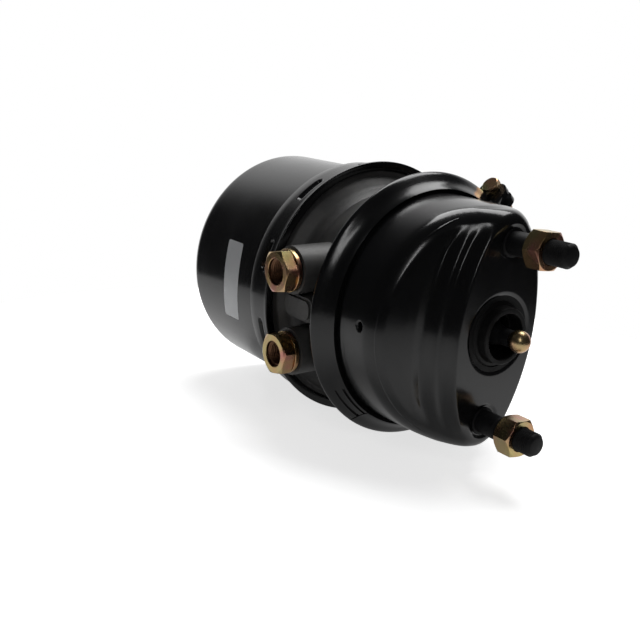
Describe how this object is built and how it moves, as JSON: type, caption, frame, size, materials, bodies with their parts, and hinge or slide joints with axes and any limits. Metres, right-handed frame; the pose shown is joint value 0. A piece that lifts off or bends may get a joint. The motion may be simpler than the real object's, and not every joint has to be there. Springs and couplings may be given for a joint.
{
  "type": "air brake chamber",
  "caption": "Spring brake chamber for a disc brake: an air chamber with a push rod in front, a spring pot with a release bolt behind, side ports and a two-stud mounting face.",
  "frame": {"origin": "where the push axis meets the flat mounting face", "axes": "+X is the push direction, out of the mounting face; +Z runs from the lower stud to the upper one; the air ports look towards -Y"},
  "size_m": [0.317, 0.2064, 0.1946],
  "materials": {
    "black_paint": "gloss black paint on drawn steel",
    "cast_metal": "satin dark grey coated casting",
    "cast_piston": "as-cast and turned",
    "stud_black": "matt black phosphated steel",
    "yellow_zinc": "yellow zinc plated steel",
    "zinc_steel": "bright zinc plated steel",
    "tube_steel": "ground and polished steel",
    "spring_steel": "black coated spring steel",
    "rubber": "moulded black rubber",
    "nylon": "natural nylon"
  },
  "bodies": {
    "housing": {"spring_pot": "black_paint", "release_bush": "black_paint", "rear_spring_seat": "zinc_steel", "adapter_body": "cast_metal", "adapter_o_ring": "rubber", "push_tube_bush": "nylon", "push_tube_seals": "rubber", "port_seals": "rubber", "clamp_half_a": "black_paint", "clamp_half_b": "black_paint", "clamp_bolt": "yellow_zinc", "clamp_nut": "yellow_zinc", "front_housing": "black_paint", "stud_brace": "black_paint", "mounting_studs": "stud_black", "stud_nuts": "yellow_zinc", "face_seal": "rubber", "pushrod_boot": "rubber", "service_diaphragm": "rubber", "return_spring": "spring_steel", "power_spring": "spring_steel", "service_port_fitting": "yellow_zinc", "spring_port_fitting": "yellow_zinc"},
    "spring_piston": {"spring_piston": "cast_piston", "piston_seal": "rubber", "piston_guide_ring": "nylon", "push_tube": "tube_steel", "thrust_pad": "nylon"},
    "service_pushrod": {"push_plate": "zinc_steel", "push_rod": "zinc_steel", "ball_end": "yellow_zinc", "boot_clip": "zinc_steel"},
    "release_bolt": {"release_bolt": "zinc_steel", "release_bolt_collar": "zinc_steel"}
  },
  "joints": [
    {"name": "spring_stroke", "type": "slide", "parent": "housing", "child": "spring_piston", "axis": [1, 0, 0], "range_m": [0, 0.057], "deforming": ["power_spring"]},
    {"name": "service_stroke", "type": "slide", "parent": "housing", "child": "service_pushrod", "axis": [1, 0, 0], "range_m": [0, 0.057], "stiffness_N_per_m": 2200, "springref_m": -0.055, "deforming": ["return_spring", "service_diaphragm", "pushrod_boot"]},
    {"name": "release_screw", "type": "slide", "parent": "housing", "child": "release_bolt", "axis": [1, 0, 0], "range_m": [-0.057, 0]}
  ],
  "couplings": [
    {"joint": "service_stroke", "follows": "spring_stroke", "ratio": 1}
  ]
}
